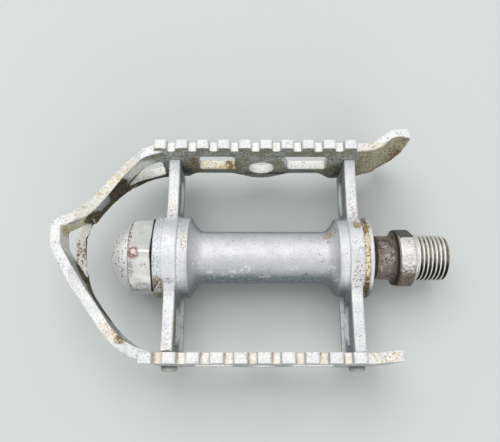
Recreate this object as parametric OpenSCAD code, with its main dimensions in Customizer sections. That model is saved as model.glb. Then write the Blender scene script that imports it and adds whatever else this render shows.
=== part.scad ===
// Left-hand quill road pedal: cast aluminium body and cage, steel spindle on cup-and-cone ball bearings.
// The origin is on the spindle axis at the seat against the crank arm. +X runs out along the crank
// thread, +Y to the rail with the pick-up tab and +Z to the side with the teeth. Millimetres.

/* [Crank end of the spindle] */
// Major radius of the 9/16 inch left-hand crank thread
crank_thread_r = 7.14; // [6:0.01:8]
// Length of the full thread
crank_thread_len = 9.7; // [8:0.1:14]
// Length of the thread's chamfered end
crank_chamfer = 1.2; // [0.4:0.1:2]
// Radius of the collar that seats on the crank
collar_r = 9.05; // [8:0.05:11]
// Width of the collar
collar_w = 4.9; // [3:0.1:8]
// Size across the collar's two wrench flats
collar_flats = 16; // [14:0.1:18]
// Turn of the wrench flats about the spindle, from +Y toward +Z
collar_turn = 32; // [0:1:90]
// Radius of the neck between the collar and the bearing
neck_r = 6.75; // [6:0.05:8]
// Radius of the hollow round that joins the neck to the collar
neck_fillet = 2; // [0.5:0.1:3]

/* [Bearings] */
// Radius of a 5/32 inch ball
ball_r = 1.9845; // [1.5:0.0005:2.5]
// Balls in each race
ball_count = 11; // [9:1:12]
// Radius of the circle through the ball centres
pitch_r = 7.25; // [6.5:0.05:9]
// Running clearance around a ball
ball_gap = 0.08; // [0.02:0.01:0.1]
// Place of the inboard balls along the spindle
inner_ball_x = -17.6; // [-20:0.1:-15]
// Place of the outboard balls along the spindle
outer_ball_x = -73.6; // [-76:0.1:-70]
// Outer radius of both pressed cups
cup_r = 10.25; // [9.5:0.05:11]
// Radius of the spindle's middle
shaft_r = 5; // [4:0.05:6]
// Major radius of the thread under the adjusting cone
end_thread_r = 3.97; // [3:0.01:5]
// Outboard end of the spindle
spindle_end_x = -85.2; // [-86:0.1:-84.5]

/* [Body] */
// Radius of the outboard hub
outer_hub_r = 13.1; // [12:0.05:15]
// Radius of the inboard hub
inner_hub_r = 12.5; // [12:0.05:15]
// Outboard face of the body
body_x0 = -78.7; // [-82:0.1:-76]
// Inboard face of the body
body_x1 = -13.4; // [-16:0.1:-11]
// Radius of the barrel
barrel_r = 8.1; // [7:0.05:10]
// Radius of the bore through the barrel
barrel_bore_r = 6.2; // [5.5:0.05:7]
// Centre plane of the outboard pair of arms
outer_arm_x = -73.8; // [-76:0.1:-71]
// Centre plane of the inboard pair of arms
inner_arm_x = -18.35; // [-21:0.1:-16]
// Thickness of an arm
arm_t = 3.5; // [3:0.1:6]
// Half the height of an arm at its waist
arm_waist = 7.5; // [5:0.1:9]
// Radius of the round that runs an arm's upper and lower edges into its hub
arm_blend_r = 10; // [2:0.5:14]
// Half the height of an arm where it meets the rail
arm_tip = 8.4; // [6:0.1:10]
// Depth of the lens-shaped pocket in each side of an arm
pocket_depth = 1.1; // [0:0.1:1.3]
// How much the lower flange of a front arm stands out toward the middle of the body
foot_step = 1.3; // [0:0.1:2]
// Step down beside the band of each hub that its arms grow from
band_step = 0.4; // [0:0.05:0.8]
// Width of the rim beside the outboard groove
outer_rim_w = 2.5; // [1:0.1:4]
// Width of the rim beside the inboard groove
inner_rim_w = 1.6; // [0.8:0.1:3]
// Width of the inboard groove
inner_groove_w = 1.2; // [0.4:0.1:2]
// Depth of the inboard groove
inner_groove_depth = 0.7; // [0:0.1:1]

/* [Cage] */
// Outer face of both rails, measured from the spindle axis
rail_y = 33.1; // [30:0.1:40]
// Thickness of the cage wall
wall = 3.1; // [2:0.1:4]
// Level of the gaps between the teeth
rail_top = 14.1; // [10:0.1:18]
// Height of a tooth
tooth_h = 2.3; // [1:0.1:4]
// Width of a tooth
tooth_w = 4; // [2:0.1:5]
// Distance from tooth to tooth
tooth_pitch = 6.45; // [5:0.05:8]
// Teeth on each rail
tooth_count = 10; // [6:1:14]
// First tooth of the rear rail, at the loop
rear_tooth_x = -77.3; // [-80:0.1:-74]
// First tooth of the front rail, at the loop
front_tooth_x = -78.3; // [-80:0.1:-74]
// Round on a tooth's upper corners
tooth_round = 0.9; // [0.2:0.05:1.5]
// Inboard end of the front rail
front_end_x = -8; // [-14:0.1:-4]
// Lower edge of the rails under the windows
rail_bottom = -2.8; // [-5:0.1:0]
// Upper edge of the rail windows
window_top = 9.8; // [8:0.1:12]
// Lower edge of the rail windows
window_floor = 0.8; // [0:0.1:4]
// Radius of the round hole in the middle of each rail
centre_hole_r = 4.2; // [3:0.1:6]
// Middle of that hole along the spindle
centre_hole_x = -46.2; // [-50:0.1:-42]
// Height of the middle of that hole
centre_hole_z = 1.3; // [0:0.1:4]
// How far the nose stands out beyond the round lip under its slot
nose_reach = 3.7; // [0:0.1:5]
// Upper level of the nose's slot
slot_top = 7; // [5:0.1:9]
// Lower level of the nose's slot
slot_floor = 0.9; // [0:0.1:3]
// Depth of the hollow in the top edge on each side of the nose
dip_depth = 3.5; // [0:0.1:6]
// Half the length of that hollow
dip_half = 9.2; // [6:0.1:12]
// Middle of that hollow along the spindle
dip_x = -92.4; // [-95:0.1:-90]

/* [Rivets, seal and dust cap] */
// Radius of a rivet's shank
rivet_r = 1.2; // [0.8:0.05:1.4]
// Radius of a rivet's head
rivet_head_r = 2.45; // [2:0.05:3.5]
// Height of a rivet's head
rivet_head_h = 1.5; // [1:0.1:3]
// How far a rivet reaches into its arm, from the rail's outer face
rivet_depth = 10; // [6:0.5:14]
// Radius of the seal's lip outside the body
seal_r = 8; // [7.5:0.05:9]
// Inboard end of the seal's lip
seal_x = -11.6; // [-13:0.1:-10]
// Size across the flats of the dust cap's hexagon
cap_flats = 22; // [18:0.1:22.5]
// Turn of the hexagon's first corner, from +Y toward +Z
cap_turn = 36; // [0:1:59]
// Outboard face of the hexagon
cap_hex_x = -86; // [-88:0.1:-85]
// Outboard end of the dome
cap_end_x = -93.1; // [-96:0.05:-91]
// Gap between the hexagon and the body
cap_gap = 0.4; // [0.1:0.1:1]
// Thickness of the dust cap's shell
cap_wall = 1.6; // [1:0.1:2.5]

/* [Smoothness] */
// Facets round a full circle in the preview
round_facets = 72; // [36:4:160]
// Straight steps in each round of the cage's plan
bend_steps = 7; // [4:1:12]

/* [Hidden] */
overlap = 0.5;
far = 60;
race_r = ball_r + ball_gap;
// The race on the spindle starts where its round meets the neck.
race_edge = sqrt(race_r * race_r - pow(pitch_r - neck_r, 2));
race_floor_r = pitch_r - race_r;
cup_back = 3.6;
cup_front = 2.6;
cup_hole_r = 6.6;
inner_cup_x0 = inner_ball_x - cup_back;
outer_cup_x1 = outer_ball_x + cup_back;
cone_x0 = outer_ball_x - 5.8;
washer_t = 1;
washer_r = 7.4;
nut_t = 4;
nut_flats = 12;
key_w = 1.6;
key_depth = 0.9;
cap_hex_x1 = body_x0 - cap_gap;
cap_dome_r = 9.7;
cap_spigot_r = cup_r - 0.05;
cap_bore_r = cap_spigot_r - cap_wall;
arm_end_y = rail_y - wall;
arm_waist_y = 21;
arm_steps = 16;
blend_sink = 0.3;
hub_edge = 0.3;
outer_band_x = outer_arm_x + arm_t / 2 + 0.2;
inner_band_x = inner_arm_x - arm_t / 2 - 0.2;
cage_floor = -12;
nose_taper = 0.5;
nose_end_x = -116;
slot_end_x = -98.2;
dip_r = (dip_half * dip_half + dip_depth * dip_depth) / (2 * dip_depth);

// A corner is [x, y, radius]. Each one but a path's two ends becomes an arc of the same number of steps.
function unit(v) = v / norm(v);
function left_of(v) = [-v.y, v.x];
function xy(c) = [c.x, c.y];
function corner_arc(a, b, c, r, steps) =
    let (u = unit(a - b), v = unit(c - b), half = acos(u * v) / 2,
         mid = b + unit(u + v) * r / sin(half),
         from = b + u * r / tan(half) - mid, to = b + v * r / tan(half) - mid, sweep = 180 - 2 * half)
    [for (k = [0:steps]) let (t = k / steps)
        mid + (sin(sweep * (1 - t)) * from + sin(sweep * t) * to) / sin(sweep)];
function open_path(corners, steps) = let (last = len(corners) - 1) concat(
    [xy(corners[0])],
    [for (i = [1:last - 1])
        each corner_arc(xy(corners[i - 1]), xy(corners[i]), xy(corners[i + 1]), corners[i][2], steps)],
    [xy(corners[last])]);
function closed_path(corners, steps) = let (n = len(corners))
    [for (i = [0:n - 1])
        each corner_arc(xy(corners[(i + n - 1) % n]), xy(corners[i]), xy(corners[(i + 1) % n]),
                        corners[i][2], steps)];

// The same corners moved a distance t to the left of the way they run, with their rounds to match.
function inset_corner(a, b, c, t) =
    let (p = left_of(unit(xy(b) - xy(a))), q = left_of(unit(xy(c) - xy(b))),
         place = xy(b) + (p + q) * t / (1 + p * q), turns_left = p.x * q.y - p.y * q.x > 0)
    [place.x, place.y, max(turns_left ? b[2] - t : b[2] + t, 0.6)];

function backward(list) = [for (i = [len(list) - 1:-1:0]) list[i]];

module along_x(x) { translate([x, 0, 0]) rotate([90, 0, 90]) children(); }

// Revolves [x, radius] points about the spindle axis.
module turned(points) {
    rotate([0, 90, 0]) rotate_extrude($fn = round_facets)
        polygon([for (p = points) [p.y, p.x]]);
}

// Cuts an [x, z] outline through one rail, both rails or the loop's two sides.
module across(y0, y1) { translate([0, y1, 0]) rotate([90, 0, 0]) linear_extrude(y1 - y0) children(); }

module ring(x0, x1, r) { along_x(x0) cylinder(h = x1 - x0, r = r, $fn = round_facets); }

// Half the height of an arm at a distance y from the spindle axis. Next to the hub it follows
// a round that runs from the arm's straight edge to just under the hub's surface.
function blend_centre(hub_r) = let (level = arm_waist + arm_blend_r)
    [sqrt(pow(hub_r - blend_sink + arm_blend_r, 2) - level * level), level];
function arm_half(y, hub_r) = let (c = blend_centre(hub_r))
    y < c.x ? c.y - sqrt(arm_blend_r * arm_blend_r - pow(c.x - y, 2))
            : arm_waist + (arm_tip - arm_waist) * pow(max(0, y - arm_waist_y) / (arm_end_y - arm_waist_y), 2);
function arm_places(hub_r) =
    let (buried_r = hub_r - blend_sink, root = blend_centre(hub_r).x * buried_r / (buried_r + arm_blend_r))
    [for (i = [0:arm_steps]) root + (arm_end_y - root) * i / arm_steps];

module arm_outline(hub_r) {
    ys = arm_places(hub_r);
    for (side = [1, -1])
        polygon(concat([for (y = ys) [side * y, arm_half(y, hub_r)]],
                       [for (y = backward(ys)) [side * y, -arm_half(y, hub_r)]]));
}

// The lens between an arm's two flanges, from the hub to just short of the rail.
module pocket_outline(hub_r) {
    from = hub_r + 1.6;
    to = arm_end_y - 2.4;
    rim = 1.9;
    ys = [for (i = [0:12]) (from + to) / 2 - cos(180 * i / 12) * (to - from) / 2];
    function lens(i) = (arm_half(ys[i], hub_r) - rim) * pow(sin(180 * i / 12), 0.7);
    for (side = [1, -1])
        polygon(concat([for (i = [0:12]) [side * ys[i], lens(i)]],
                       [for (i = [11:-1:1]) [side * ys[i], -lens(i)]]));
}

// The strip along an arm's lower edge, on the side of the front rail.
module foot_outline(hub_r) {
    depth = 1.9;
    ys = arm_places(hub_r);
    polygon(concat([for (y = ys) [-y, depth - arm_half(y, hub_r)]],
                   [for (y = backward(ys)) [-y, -arm_half(y, hub_r)]]));
}

module arms(x, hub_r, foot_side) {
    difference() {
        union() {
            along_x(x - arm_t / 2) linear_extrude(arm_t) arm_outline(hub_r);
            along_x(foot_side > 0 ? x : x - arm_t / 2 - foot_step)
                linear_extrude(arm_t / 2 + foot_step) foot_outline(hub_r);
        }
        along_x(x + arm_t / 2 - pocket_depth) linear_extrude(pocket_depth + overlap) pocket_outline(hub_r);
        along_x(x - arm_t / 2 - overlap) linear_extrude(pocket_depth + overlap) pocket_outline(hub_r);
    }
}

// The hollow sweep from a hub at x0 down to the barrel at x1, as [x, radius] points.
function flare(x0, x1, r) = [for (i = [0:8]) let (t = i / 8)
    [x0 + (x1 - x0) * t, barrel_r + (r - barrel_r) * pow(1 - t, 2.3)]];
function groove(x0, x1, r, depth) = [[x0, r], [x0, r - depth], [x1, r - depth], [x1, r]];

// The hubs and the barrel as one turned profile, from the outboard face to the inboard one.
function body_profile() = let (
    outer_groove_x = body_x0 + outer_rim_w, inner_groove_x = body_x1 - inner_rim_w)
    concat(
        [[body_x0, 0], [body_x0, outer_hub_r - hub_edge], [body_x0 + hub_edge, outer_hub_r]],
        groove(outer_groove_x, outer_groove_x + hub_edge, outer_hub_r, hub_edge),
        [[outer_band_x, outer_hub_r], [outer_band_x + band_step, outer_hub_r - band_step]],
        flare(outer_band_x + 2.2, outer_band_x + 7.8, outer_hub_r - band_step),
        backward(flare(inner_band_x - 1.7, inner_band_x - 7.9, inner_hub_r - band_step)),
        [[inner_band_x - band_step, inner_hub_r - band_step], [inner_band_x, inner_hub_r]],
        groove(inner_groove_x - inner_groove_w, inner_groove_x, inner_hub_r, inner_groove_depth),
        [[body_x1 - hub_edge, inner_hub_r], [body_x1, inner_hub_r - hub_edge], [body_x1, 0]]);

module body() {
    color([0.80, 0.81, 0.82]) difference() {
        union() {
            turned(body_profile());
            arms(outer_arm_x, outer_hub_r, 1);
            arms(inner_arm_x, inner_hub_r, -1);
        }
        ring(body_x0 - overlap, outer_cup_x1, cup_r);
        ring(outer_cup_x1 - overlap, inner_cup_x0 + overlap, barrel_bore_r);
        ring(inner_cup_x0, body_x1 + overlap, cup_r);
        for (side = [1, -1], x = [outer_arm_x, inner_arm_x]) rivet_hole(side, x);
    }
}

module rivet_hole(side, x) {
    translate([x, side * (rail_y - rivet_depth), 0]) rotate([-90 * side, 0, 0])
        cylinder(h = rivet_depth + overlap, r = rivet_r, $fn = round_facets);
}

module rivet(side, x) {
    edge = 0.7;
    color([0.72, 0.70, 0.66]) translate([x, side * rail_y, 0]) rotate([-90 * side, 0, 0])
        rotate_extrude($fn = round_facets) polygon(concat(
            [[0, -rivet_depth], [rivet_r, -rivet_depth], [rivet_r, 0], [rivet_head_r, 0]],
            [for (a = [0:15:90]) [rivet_head_r - edge, rivet_head_h - edge] + edge * [cos(a), sin(a)]],
            [[0, rivet_head_h]]));
}

// Plan of the cage's outer face, from the tip of the tab by the rear rail, the loop and its
// skewed nose to the end of the front rail. Only the nose moves with the level z: it stands out
// above the slot and draws in across the slot's height to the round lip under it.
levels = [cage_floor, slot_floor, slot_top, rail_top];
function lean(z) = lookup(z, [[slot_floor, nose_reach], [slot_top, nose_taper], [rail_top, 0]]);
function cage_outer(z) = [
    [-0.25, 35.4, 0], [-0.4, 38.1, 1.5], [-5.4, 37.9, 3.5], [-12.2, rail_y, 7],
    [-85.9, rail_y, 24], [-100.9, 11.4, 12], [-108.7 + lean(z), 7.6, 3.2], [-108 + lean(z), -0.4, 8],
    [-100.1, -13.2, 30], [-85.7, -rail_y, 24], [-16, -rail_y, 8], [front_end_x, 0.8 - rail_y, 0]];
function cage_inner(z) = let (outer = cage_outer(z), last = len(outer) - 1) concat(
    [[-0.25, 34.2, 0], [-2.2, 34.8, 2], [-4.9, 34.9, 4]],
    [for (i = [3:last - 1]) inset_corner(outer[i - 1], outer[i], outer[i + 1], wall)],
    [[front_end_x, 0.8 - rail_y + wall, 0]]);

// A wall lofted through its plans at the levels, closed by bands across its edges and its two ends.
module walled_band() {
    rings = [for (z = levels) [open_path(cage_outer(z), bend_steps), open_path(cage_inner(z), bend_steps)]];
    n = len(rings[0][0]);
    top = len(levels) - 1;
    points = [for (level = [0:top], face = [0, 1], p = rings[level][face]) [p.x, p.y, levels[level]]];
    function at(level, face, i) = (level * 2 + face) * n + i;
    function quad(a, b, c, d) = [[a, c, b], [a, d, c]];
    faces = concat(
        [for (k = [0:top - 1], i = [0:n - 2])
            each quad(at(k, 0, i), at(k, 0, i + 1), at(k + 1, 0, i + 1), at(k + 1, 0, i))],
        [for (k = [0:top - 1], i = [0:n - 2])
            each quad(at(k, 1, i), at(k + 1, 1, i), at(k + 1, 1, i + 1), at(k, 1, i + 1))],
        [for (i = [0:n - 2]) each quad(at(0, 0, i), at(0, 1, i), at(0, 1, i + 1), at(0, 0, i + 1))],
        [for (i = [0:n - 2]) each quad(at(top, 0, i), at(top, 0, i + 1), at(top, 1, i + 1), at(top, 1, i))],
        [for (k = [0:top - 1]) each quad(at(k, 0, 0), at(k + 1, 0, 0), at(k + 1, 1, 0), at(k, 1, 0))],
        [for (k = [0:top - 1])
            each quad(at(k, 0, n - 1), at(k, 1, n - 1), at(k + 1, 1, n - 1), at(k + 1, 0, n - 1))]);
    polyhedron(points, faces);
}

module tooth(x, side) {
    half = tooth_w / 2;
    y0 = side > 0 ? rail_y - wall : -rail_y;
    across(y0, y0 + wall) polygon(concat(
        [[x - half, rail_top - overlap]],
        [for (a = [180:-30:90]) [x - half + tooth_round, rail_top + tooth_h - tooth_round]
                                + tooth_round * [cos(a), sin(a)]],
        [for (a = [90:-30:0]) [x + half - tooth_round, rail_top + tooth_h - tooth_round]
                              + tooth_round * [cos(a), sin(a)]],
        [[x + half, rail_top - overlap]]));
}

// The lower edge of a side of the cage: nose, arch under the loop, bulges at the arms and the hole.
lower_edge = [
    [nose_end_x, -1.6, 0], [-102.4, -1.6, 2], [-98.2, 3.6, 4], [-93.6, 2.8, 6], [-86.6, -2.9, 5],
    [-78.9, -5.3, 4], [-70.6, -5.8, 1.2], [-67.6, rail_bottom, 2], [centre_hole_x - 9.7, rail_bottom, 3],
    [centre_hole_x, rail_bottom - 5.6, 8.3], [centre_hole_x + 9.3, rail_bottom, 3],
    [-27.2, rail_bottom, 2.5], [-22.4, -7.8, 2.5]];
rear_edge_end = [[-14, -5.8, 3], [-11, -5.3, 3], [-5.4, -10.2, 2.2], [-2.2, -4.5, 6], [-0.6, 3.5, 14],
                 [0.1, 15, 0]];
front_edge_end = [[-14, -6, 4], [front_end_x + 2, -5.6, 0]];

module under(edge_end, y0, y1) {
    path = open_path(concat(lower_edge, edge_end), 4);
    last = path[len(path) - 1];
    across(y0, y1) polygon(concat(path, [[last.x + 4, last.y], [last.x + 4, -20], [nose_end_x, -20]]));
}

module cage_windows() {
    outboard_window = [[-66.3, window_floor, 0.8], [-54.8, window_floor, 0.8],
                       [-54.8, window_top, 1.8], [-66.3, window_top, 1.8]];
    inboard_window = [[-37.3, window_floor, 0.8], [-25.2, window_floor, 0.8],
                      [-25.2, window_top, 1.8], [-40.8, window_top, 1.8]];
    side_slot = [[-89.3, 2.6, 0.3], [-82, -2.6, 6], [-78.1, -2.6, 0.8], [-78.1, 7.3, 0.8], [-82.6, 7, 5]];
    across(-far, far) {
        polygon(closed_path(outboard_window, 4));
        polygon(closed_path(inboard_window, 4));
        polygon(closed_path(side_slot, 4));
    }
}

module nose_slot() {
    slot = [[11.4, slot_top + 0.4, 0.8], [3, slot_top, 14], [-7.8, slot_top - 2.2, 0.6],
            [-4.6, slot_floor, 3], [9.6, slot_floor, 3]];
    along_x(nose_end_x) linear_extrude(slot_end_x - nose_end_x) polygon(closed_path(slot, 4));
}

module cage() {
    color([0.86, 0.86, 0.84]) {
        difference() {
            walled_band();
            under(rear_edge_end, 0, far);
            under(front_edge_end, -far, 0);
            translate([dip_x, far, rail_top - dip_depth + dip_r]) rotate([90, 0, 0])
                cylinder(h = 2 * far, r = dip_r, $fn = round_facets);
            cage_windows();
            nose_slot();
            translate([centre_hole_x, far, centre_hole_z]) rotate([90, 0, 0])
                cylinder(h = 2 * far, r = centre_hole_r, $fn = round_facets);
            for (side = [1, -1], x = [outer_arm_x, inner_arm_x]) rivet_hole(side, x);
        }
        for (i = [0:tooth_count - 1]) {
            tooth(rear_tooth_x + i * tooth_pitch, 1);
            tooth(front_tooth_x + i * tooth_pitch, -1);
        }
    }
}

// A cup's section, as [x, radius] with its mouth toward +X and the ball centre at x = 0.
function cup_section() = concat(
    [[-cup_back, cup_hole_r], [-race_r, cup_hole_r]],
    [for (a = [180:-15:90]) [0, pitch_r] + race_r * [cos(a), sin(a)]],
    [[cup_front, pitch_r + race_r], [cup_front, cup_r], [-cup_back, cup_r]]);

module inner_cup() {
    color([0.55, 0.55, 0.56]) turned([for (p = cup_section()) [inner_ball_x + p.x, p.y]]);
}

module outer_cup() {
    color([0.55, 0.55, 0.56]) turned([for (p = cup_section()) [outer_ball_x - p.x, p.y]]);
}

module inner_seal() {
    flange_x0 = inner_ball_x + cup_front;
    lip_x0 = body_x1 + 0.2;
    hole_r = neck_r + 0.1;
    color([0.36, 0.25, 0.16]) turned([
        [flange_x0, hole_r], [flange_x0, cup_r], [body_x1, cup_r], [body_x1, 9.2], [lip_x0, 9],
        [lip_x0, seal_r], [seal_x - 0.4, seal_r], [seal_x, seal_r - 0.4], [seal_x, hole_r]]);
}

// Half an ellipse that closes the cap, from the hexagon's face to the end.
function dome(r, length) = [for (a = [0:10:90]) [cap_hex_x - length * sin(a), r * cos(a)]];

module dust_cap() {
    corner_r = cap_flats / 2 / cos(30);
    dome_l = cap_hex_x - cap_end_x;
    color([0.78, 0.79, 0.80]) difference() {
        union() {
            turned(concat([[cap_hex_x + 1, 0], [cap_hex_x + 1, cap_dome_r]], dome(cap_dome_r, dome_l)));
            intersection() {
                along_x(cap_hex_x) rotate([0, 0, cap_turn])
                    cylinder(h = cap_hex_x1 - cap_hex_x, r = corner_r, $fn = 6);
                turned([[cap_hex_x, 0], [cap_hex_x, corner_r - 1.3], [cap_hex_x + 1, corner_r + 0.1],
                        [cap_hex_x1, corner_r + 0.1], [cap_hex_x1, 0]]);
            }
            ring(cap_hex_x1 - overlap, body_x0 + 2.2, cap_spigot_r);
        }
        turned(concat([[body_x0 + 3, 0], [body_x0 + 3, cap_bore_r], [cap_hex_x + 0.8, cap_bore_r]],
                      dome(cap_dome_r - cap_wall, dome_l - cap_wall)));
    }
}

module keyway(x0, x1, w, depth) {
    translate([x0, end_thread_r - depth, -w / 2]) cube([x1 - x0, depth + overlap, w]);
}

module spindle() {
    color([0.45, 0.42, 0.40]) difference() {
        turned(concat(
            [[spindle_end_x, 0], [spindle_end_x, end_thread_r - 0.6], [spindle_end_x + 0.6, end_thread_r],
             [outer_ball_x + 1, end_thread_r], [outer_ball_x + 1, 4.3], [-64, shaft_r - 0.3],
             [-30, shaft_r], [inner_ball_x - 2, race_floor_r]],
            [for (a = [-90:15:-15]) [inner_ball_x, pitch_r] + race_r * [cos(a), sin(a)]],
            [[inner_ball_x + race_edge, neck_r], [-collar_w - 0.5 - neck_fillet, neck_r]],
            [for (a = [-75:15:-15]) [-collar_w - 0.5 - neck_fillet, neck_r + neck_fillet]
                                    + neck_fillet * [cos(a), sin(a)]],
            [[-collar_w - 0.5, neck_r + neck_fillet - 0.15], [-collar_w - 0.5, 8.6], [-collar_w, 8.6],
             [-collar_w, 0]]));
        keyway(spindle_end_x - overlap, outer_ball_x - 3, key_w, key_depth);
    }
    color([0.62, 0.61, 0.59]) {
        intersection() {
            turned([[-collar_w - overlap, 0], [-collar_w - overlap, 8.5], [-collar_w, 8.6],
                    [-collar_w, collar_r - 0.3], [0.3 - collar_w, collar_r], [-0.3, collar_r],
                    [0, collar_r - 0.3], [0, 0]]);
            rotate([collar_turn, 0, 0]) cube([4 * collar_w, collar_flats, far], center = true);
        }
        turned([[-1, 0], [-1, crank_thread_r], [crank_thread_len, crank_thread_r],
                [crank_thread_len + crank_chamfer, crank_thread_r - 0.95],
                [crank_thread_len + crank_chamfer, 0]]);
    }
}

module outer_cone() {
    color([0.50, 0.50, 0.51]) turned(concat(
        [[cone_x0, end_thread_r], [cone_x0, neck_r - 0.3], [cone_x0 + 0.3, neck_r]],
        [[outer_ball_x - race_edge, neck_r]],
        [for (a = [195:15:270]) [outer_ball_x, pitch_r] + race_r * [cos(a), sin(a)]],
        [[outer_ball_x + 1, race_floor_r], [outer_ball_x + 1, end_thread_r]]));
}

module lock_washer() {
    x0 = cone_x0 - washer_t;
    color([0.58, 0.58, 0.58]) {
        difference() {
            ring(x0, cone_x0, washer_r);
            ring(x0 - overlap, cone_x0 + overlap, end_thread_r);
        }
        translate([x0, end_thread_r - key_depth + 0.05, -key_w / 2 + 0.05])
            cube([washer_t, 2 * key_depth, key_w - 0.1]);
    }
}

module locknut() {
    x0 = cone_x0 - washer_t - nut_t;
    color([0.58, 0.58, 0.58]) difference() {
        along_x(x0) cylinder(h = nut_t, r = nut_flats / 2 / cos(30), $fn = 6);
        ring(x0 - overlap, x0 + nut_t + overlap, end_thread_r);
    }
}

module ball(x, i) {
    color([0.75, 0.76, 0.78]) rotate([360 * (i - 0.5) / ball_count, 0, 0]) translate([x, pitch_r, 0])
        sphere(r = ball_r, $fn = 16);
}

body();
cage();
rivet(1, outer_arm_x);  // rivet_rear_outboard
rivet(1, inner_arm_x);  // rivet_rear_inboard
rivet(-1, outer_arm_x);  // rivet_front_outboard
rivet(-1, inner_arm_x);  // rivet_front_inboard
inner_cup();
outer_cup();
inner_seal();
dust_cap();
spindle();
outer_cone();
lock_washer();
locknut();
for (i = [1:ball_count]) {
    ball(inner_ball_x, i);
    ball(outer_ball_x, i);
}
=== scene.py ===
import math

import bmesh
import bpy
import numpy as np
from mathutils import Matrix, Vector


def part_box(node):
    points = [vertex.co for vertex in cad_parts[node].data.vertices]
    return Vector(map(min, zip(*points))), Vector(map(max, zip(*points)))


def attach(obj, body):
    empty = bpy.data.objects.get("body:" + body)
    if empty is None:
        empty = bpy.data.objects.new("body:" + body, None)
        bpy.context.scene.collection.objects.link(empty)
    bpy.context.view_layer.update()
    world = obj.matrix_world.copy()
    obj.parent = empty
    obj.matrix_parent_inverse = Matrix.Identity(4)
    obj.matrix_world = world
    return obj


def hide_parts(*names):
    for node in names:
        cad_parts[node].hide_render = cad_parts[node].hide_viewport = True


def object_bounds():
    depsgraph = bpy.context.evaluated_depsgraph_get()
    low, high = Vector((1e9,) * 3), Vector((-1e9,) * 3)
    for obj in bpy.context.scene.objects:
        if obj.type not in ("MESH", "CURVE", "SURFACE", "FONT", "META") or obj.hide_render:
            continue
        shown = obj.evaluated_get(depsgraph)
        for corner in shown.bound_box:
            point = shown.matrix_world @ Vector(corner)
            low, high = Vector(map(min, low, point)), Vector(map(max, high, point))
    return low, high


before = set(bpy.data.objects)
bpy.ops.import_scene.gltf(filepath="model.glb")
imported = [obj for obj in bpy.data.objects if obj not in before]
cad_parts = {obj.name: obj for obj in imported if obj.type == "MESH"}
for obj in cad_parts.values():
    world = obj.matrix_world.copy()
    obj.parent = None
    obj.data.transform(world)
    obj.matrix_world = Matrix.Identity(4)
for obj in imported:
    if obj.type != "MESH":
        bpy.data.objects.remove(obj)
cad_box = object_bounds()

MM = 0.001

# Places are in millimetres along the spindle from the crank seat, names that end in _r are radii, and the
# turns of the collar's and the cap's flats are in degrees.
# Spindle
crank_thread_r = 7.14
crank_thread_len = 9.7
crank_thread_end = 10.9
crank_thread_end_r = 6.2
thread_pitch = 1.27
thread_depth = 0.72
collar_r = 9.05
collar_flats = 16.0
collar_turn = 32.0
neck_r = 6.75
neck_x = -7.4
neck_sweep_r = 2.0
flange_r = 8.6
inner_ball_x = -17.6
ball_circle_r = 7.25
race_r = 2.0645
spindle_end_x = -85.2
spindle_bevel_x = -84.6
spindle_end_r = 3.97

# Dust cap and seal
cap_flats = 22.0
cap_turn = 36.0
cap_hex_x = -86.0
cap_end_x = -93.1
cap_back_x = -79.1
cap_dome_r = 9.7
cap_wall = 1.6
spigot_end_x = -76.5
cup_r = 10.25
seal_back_x = -15.0
seal_bore_r = 6.85
seal_lip_x = -13.2

# Turned surface of the body: hubs with a seam and a groove, rings beside them and sweeps to the barrel
hub_x0 = -78.7
hub_x1 = -13.4
outer_hub_r = 13.1
inner_hub_r = 12.5
hub_edge = 0.3
seam_x0 = -76.2
seam_x1 = -75.9
seam_depth = 0.3
groove_x0 = -16.2
groove_x1 = -14.6
groove_depth = 0.7
outer_ring_x = -71.85
inner_ring_x = -20.3
ring_bevel = 0.4
outer_sweep_x = -68.35
inner_sweep_x = -23.4
sweep_len = 4.7
sweep_rise = 4.6
sweep_power = 2.3
barrel_r = 8.1
sharp = 0.01

# Where the skin goes to that surface even if it stands out from the solid: from x, to x, outside r.
turned_zones = [(-70.6, -21.6, 7.5), (-16.4, -13.5, 11.0)]

# Cage and rivets: rail_y is the outer face of the rails, and front_tooth_side the side of a front tooth
rail_y = 33.1
tooth_pitch = 6.45
front_tooth_side = -76.35
outer_arm_x = -73.8
inner_arm_x = -18.35
rivet_head_r = 2.45
rivet_head_h = 1.5
rivet_shank_r = 1.2
rivet_shank_len = 10.0

# The photograph's camera, in metres, radians and, for its lens and sensor, millimetres
camera_place = (-0.050553, -0.040421, 0.162284)
camera_turn = (0.313, -0.004, 0.0)
camera_lens = 38.187
sensor_width = 36.0

# Studio, in metres and watts
middle = (-0.05, 0, 0)
floor_size = 3.0
floor_gap = 0.0001
lamps = {"overhead": ((-0.2, 0.35, 0.9), 0.9, 5.7), "front": ((0.16, -0.8, 0.45), 0.7, 2.6)}
lamp_colour = (1.0, 0.985, 0.965)
sky_strength = 0.8


def linear(code):
    """The linear RGBA colour of an sRGB hex value."""
    parts = [int(code[i:i + 2], 16) / 255 for i in (0, 2, 4)]
    return [c / 12.92 if c <= 0.04045 else ((c + 0.055) / 1.055) ** 2.4 for c in parts] + [1.0]


def add(tree, kind, sockets=None, **settings):
    """Adds a shader node, sets its properties and fills its sockets with values or links."""
    node = tree.nodes.new("ShaderNode" + kind)
    for name, value in settings.items():
        setattr(node, name, value)
    for key, value in (sockets or {}).items():
        if isinstance(value, bpy.types.NodeSocket):
            tree.links.new(value, node.inputs[key])
        else:
            node.inputs[key].default_value = value
    return node


def skin(name):
    """A new material with only a shader and its output: the material, its tree and the shader."""
    mat = bpy.data.materials.new(name)
    mat.use_nodes = True
    mat.node_tree.nodes.clear()
    shader = add(mat.node_tree, "BsdfPrincipled")
    add(mat.node_tree, "OutputMaterial", {"Surface": shader.outputs[0]})
    return mat, mat.node_tree, shader


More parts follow.
